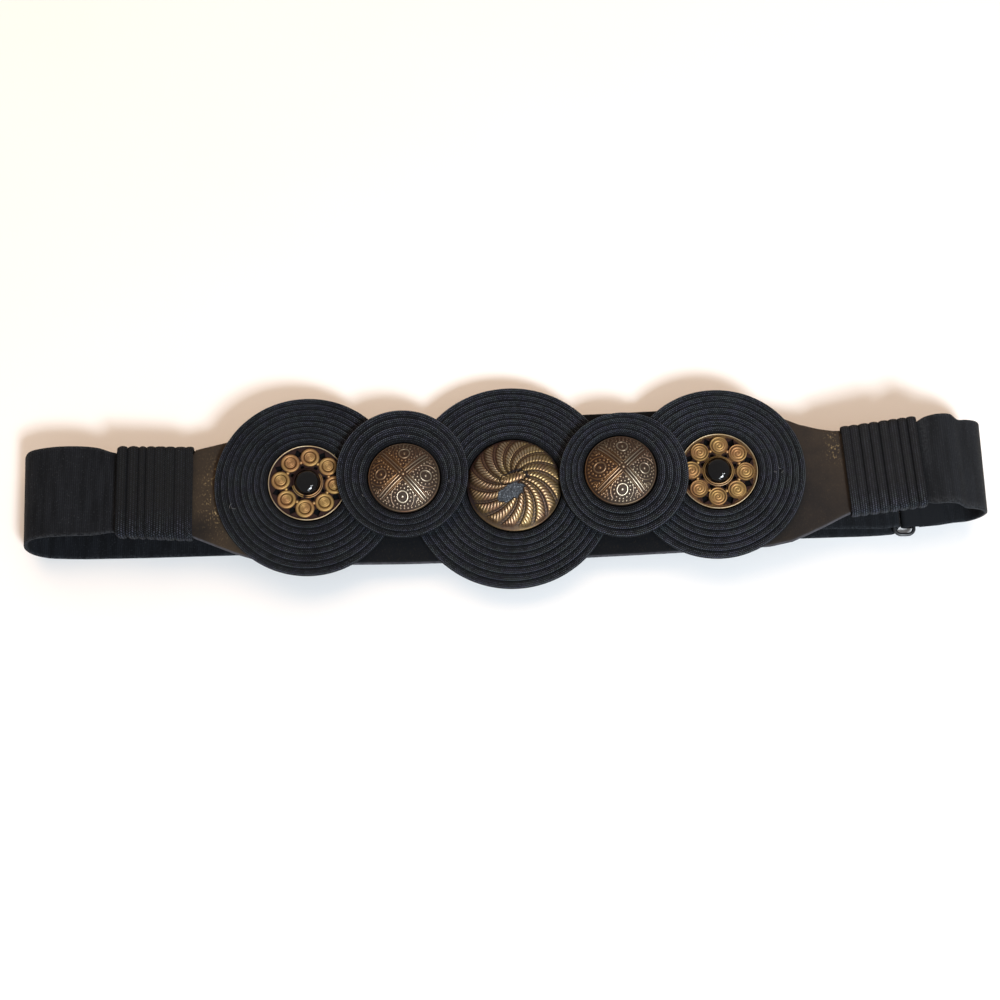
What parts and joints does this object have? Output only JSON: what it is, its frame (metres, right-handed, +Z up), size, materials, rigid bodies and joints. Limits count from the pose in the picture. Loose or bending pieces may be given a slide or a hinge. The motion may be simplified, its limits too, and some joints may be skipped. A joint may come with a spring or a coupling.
{
  "type": "medallion belt",
  "caption": "Black stretch waist belt with coiled braid discs and metal medallions on a leather panel, closed by a wire ring and hook, lying fastened and face up.",
  "frame": {"origin": "middle of the belt's bounding box in plan, on the surface that it lies on", "axes": "+X along the belt towards the clasp end, +Y towards the belt's top edge, +Z up, out of the medallions' faces"},
  "size_m": [0.4005, 0.0866, 0.0301],
  "materials": {
    "leather": "dark brown smooth leather, worn and scuffed, with a paler cut edge",
    "elastic": "black woven elastic webbing, matt",
    "braid": "black flat braid, coiled and sewn, faint sheen",
    "gold_metal": "antique gold, matt, dark in the recesses",
    "bronze_metal": "antique bronze, bright on worn high spots",
    "cabochon_glass": "polished opaque black glass",
    "clasp_wire": "black coated steel, satin"
  },
  "bodies": {
    "root": {"leather_panel": "leather", "elastic_left": "elastic", "elastic_right": "elastic", "wrap_left": "braid", "wrap_right": "braid", "disc_left_large": "braid", "disc_left_small": "braid", "disc_centre": "braid", "disc_right_small": "braid", "disc_right_large": "braid", "rosette_left": "gold_metal", "rosette_right": "gold_metal", "cabochon_left": "cabochon_glass", "cabochon_right": "cabochon_glass", "dome_centre": "bronze_metal", "dome_left_small": "bronze_metal", "dome_right_small": "bronze_metal", "clasp_ring": "clasp_wire", "clasp_hook": "clasp_wire"}
  },
  "joints": []
}
